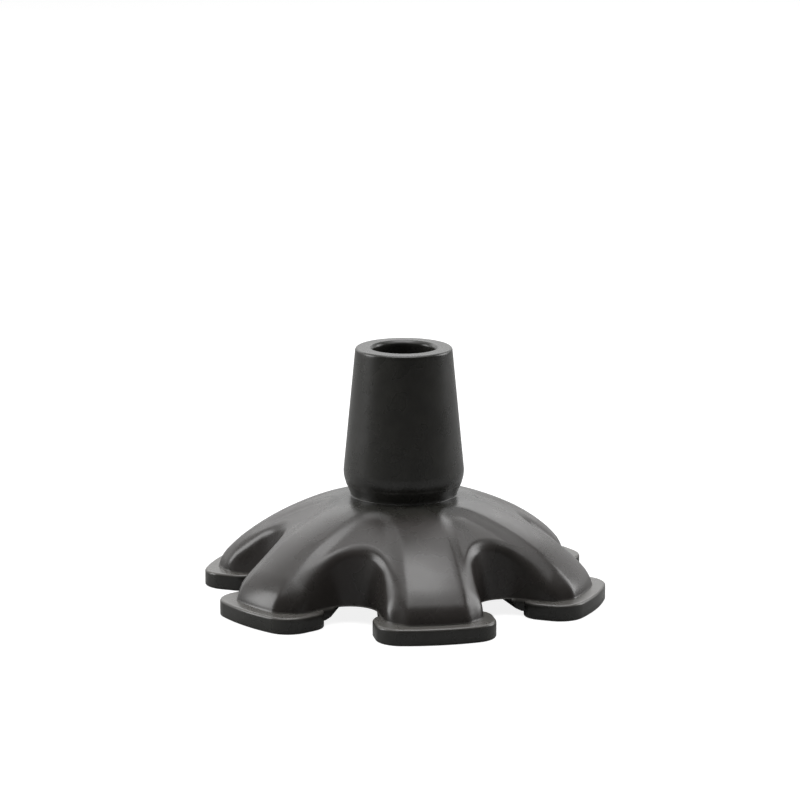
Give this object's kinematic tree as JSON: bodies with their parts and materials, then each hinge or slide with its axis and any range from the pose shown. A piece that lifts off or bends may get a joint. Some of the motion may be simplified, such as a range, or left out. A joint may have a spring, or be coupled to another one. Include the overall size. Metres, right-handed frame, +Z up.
{
  "type": "rubber cane tip",
  "caption": "Dark grey rubber cane tip with a tapered collar for the shaft and a flared base of separate toes.",
  "frame": {"origin": "on the floor under the socket's axis", "axes": "+Z up along the socket, -Y along the middle of one toe"},
  "size_m": [0.1172, 0.1232, 0.0758],
  "materials": {
    "rubber": "satin"
  },
  "bodies": {
    "root": {"cane_tip": "rubber"}
  },
  "joints": []
}
